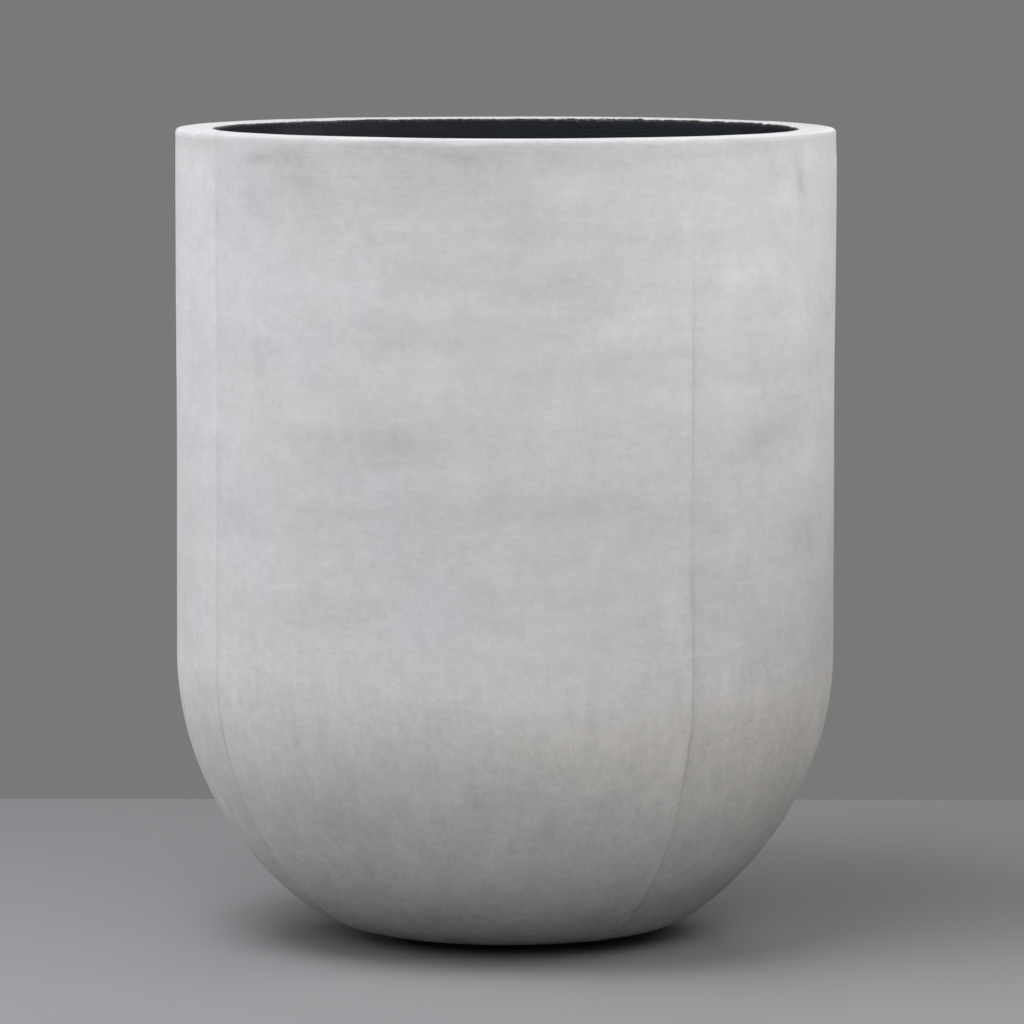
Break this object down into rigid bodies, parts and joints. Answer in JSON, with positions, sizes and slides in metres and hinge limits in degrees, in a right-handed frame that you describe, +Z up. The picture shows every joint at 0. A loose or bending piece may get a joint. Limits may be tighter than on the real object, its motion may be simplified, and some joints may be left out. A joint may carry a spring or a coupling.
{
  "type": "round floor planter",
  "caption": "Tall round cast floor planter, straight wall running into a bowl cut flat by a raised base, thick pale rim, black waterproof lining, plugged drain.",
  "frame": {"origin": "on the floor under the middle of the planter: the centre of the underside of its four pads", "axes": "+Z up along the planter's axis of revolution, +X to the right and -Y towards the viewer in the picture"},
  "size_m": [0.822, 0.822, 1.01],
  "materials": {
    "cast_concrete": "matte",
    "black_lining": "satin",
    "grey_pvc": "matte",
    "bung_rubber": "matte",
    "pad_rubber": "matte"
  },
  "bodies": {
    "pot": {"shell": "cast_concrete", "inner_lining": "black_lining", "drain_sleeve": "grey_pvc", "pad_front_left": "pad_rubber", "pad_front_right": "pad_rubber", "pad_back_left": "pad_rubber", "pad_back_right": "pad_rubber"},
    "bung": {"drain_bung": "bung_rubber"}
  },
  "joints": [
    {"name": "bung_pull", "type": "slide", "parent": "pot", "child": "bung", "axis": [0, 0, 1], "range_m": [0, 0.08]}
  ]
}
